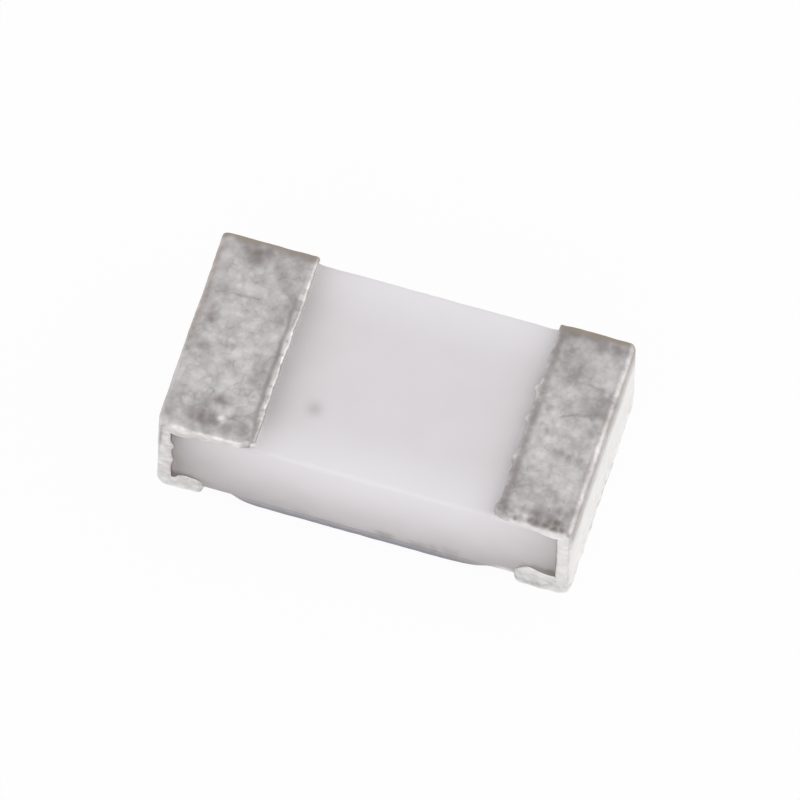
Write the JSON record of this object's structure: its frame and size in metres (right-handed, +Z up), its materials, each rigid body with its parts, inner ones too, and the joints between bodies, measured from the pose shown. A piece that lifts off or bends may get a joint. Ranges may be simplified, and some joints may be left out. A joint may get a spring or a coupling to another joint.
{
  "type": "smd fuse",
  "caption": "Rectangular ceramic chip fuse for surface mounting, with a wrapped tin terminal at each end and a dark cover coat underneath.",
  "frame": {"origin": "under the middle of the chip, on the plane that the two feet stand on", "axes": "+X along the chip from the left terminal (the one with the longer upper band) to the right one, +Y across it, away from the side that faces the camera, +Z up, out of the bare ceramic face"},
  "size_m": [0.0032, 0.0016, 0.001],
  "materials": {
    "alumina": "matte",
    "silver_pad": "satin",
    "glaze": "gloss",
    "link_alloy": "satin",
    "arc_glass": "gloss",
    "cover_coat": "satin",
    "edge_electrode": "satin",
    "nickel": "satin",
    "tin": "satin"
  },
  "bodies": {
    "root": {"ceramic_substrate": "alumina", "left_back_pad": "silver_pad", "right_back_pad": "silver_pad", "left_front_pad": "silver_pad", "right_front_pad": "silver_pad", "under_glaze": "glaze", "fuse_link": "link_alloy", "arc_glass": "arc_glass", "cover_coat": "cover_coat", "left_edge_electrode": "edge_electrode", "right_edge_electrode": "edge_electrode", "left_nickel_barrier": "nickel", "right_nickel_barrier": "nickel", "left_tin_coat": "tin", "right_tin_coat": "tin"}
  },
  "joints": []
}
